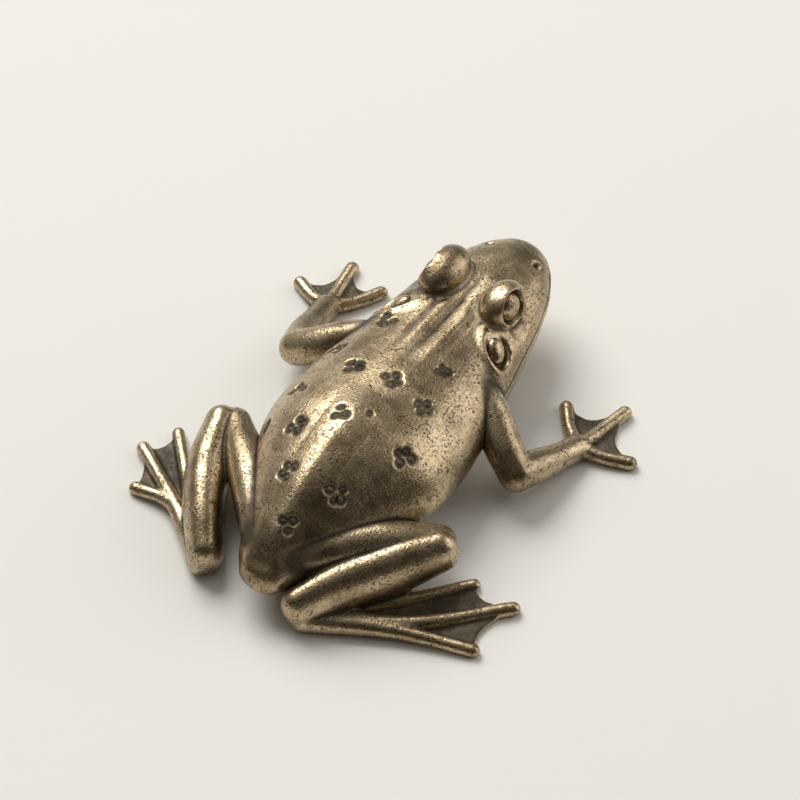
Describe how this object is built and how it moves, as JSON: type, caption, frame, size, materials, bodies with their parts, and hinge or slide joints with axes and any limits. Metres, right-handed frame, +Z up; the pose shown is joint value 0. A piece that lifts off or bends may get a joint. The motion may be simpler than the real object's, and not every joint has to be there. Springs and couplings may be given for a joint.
{
  "type": "frog figurine",
  "caption": "Hollow cast brass frog ornament that stands on four webbed feet, with dowelled legs, set-in eyes and eardrums and a furrowed back.",
  "frame": {"origin": "on the floor under the middle of the frog's overall box", "axes": "the frog looks along -Y, its left is +X, +Z is up from the floor"},
  "size_m": [0.0635, 0.0734, 0.0202],
  "materials": {
    "cast_brass": "antique patina, rubbed bright on the high places",
    "bead_brass": "polished, dark round the edge",
    "dowel_brass": "plain drawn rod"
  },
  "bodies": {
    "root": {"back_shell": "cast_brass", "belly_shell": "cast_brass", "left_eye_bead": "bead_brass", "right_eye_bead": "bead_brass", "left_eardrum_disc": "bead_brass", "right_eardrum_disc": "bead_brass", "left_foreleg": "cast_brass", "right_foreleg": "cast_brass", "left_hind_leg": "cast_brass", "right_hind_leg": "cast_brass", "left_shoulder_dowel": "dowel_brass", "right_shoulder_dowel": "dowel_brass", "left_hip_dowel": "dowel_brass", "right_hip_dowel": "dowel_brass"}
  },
  "joints": []
}
